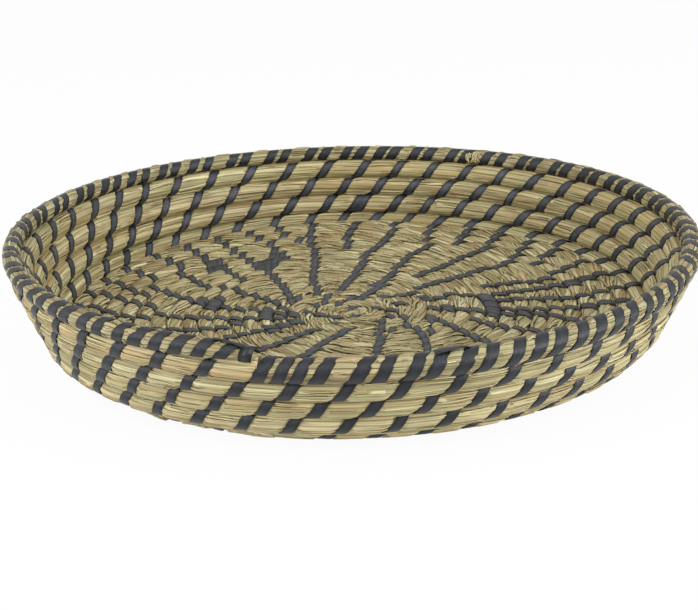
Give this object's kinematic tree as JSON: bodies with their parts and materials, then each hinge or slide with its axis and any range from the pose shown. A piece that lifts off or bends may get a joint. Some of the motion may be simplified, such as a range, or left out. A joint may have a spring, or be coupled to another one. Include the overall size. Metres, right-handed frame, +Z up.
{
  "type": "woven tray",
  "caption": "Round shallow coiled grass tray with a flared wall, a thick bound rim and dark strips wound round the coils.",
  "frame": {"origin": "on the plane that the tray rests on, below the middle of the rim's outline", "axes": "+Z up out of the tray, +X along the longer way across the slightly oval rim, and -Y towards the camera in the picture"},
  "size_m": [0.413, 0.3866, 0.0732],
  "materials": {
    "grass": "matte",
    "strip": "satin"
  },
  "bodies": {
    "root": {"floor_coil": "grass", "wall_coil": "grass", "rim_coil": "grass", "wall_strip_1": "strip", "wall_strip_2": "strip", "wall_strip_3": "strip", "wall_strip_4": "strip", "rim_strip_first": "strip", "rim_strip_second": "strip", "tucked_strip_end_left": "strip", "tucked_strip_end_right": "strip"}
  },
  "joints": []
}
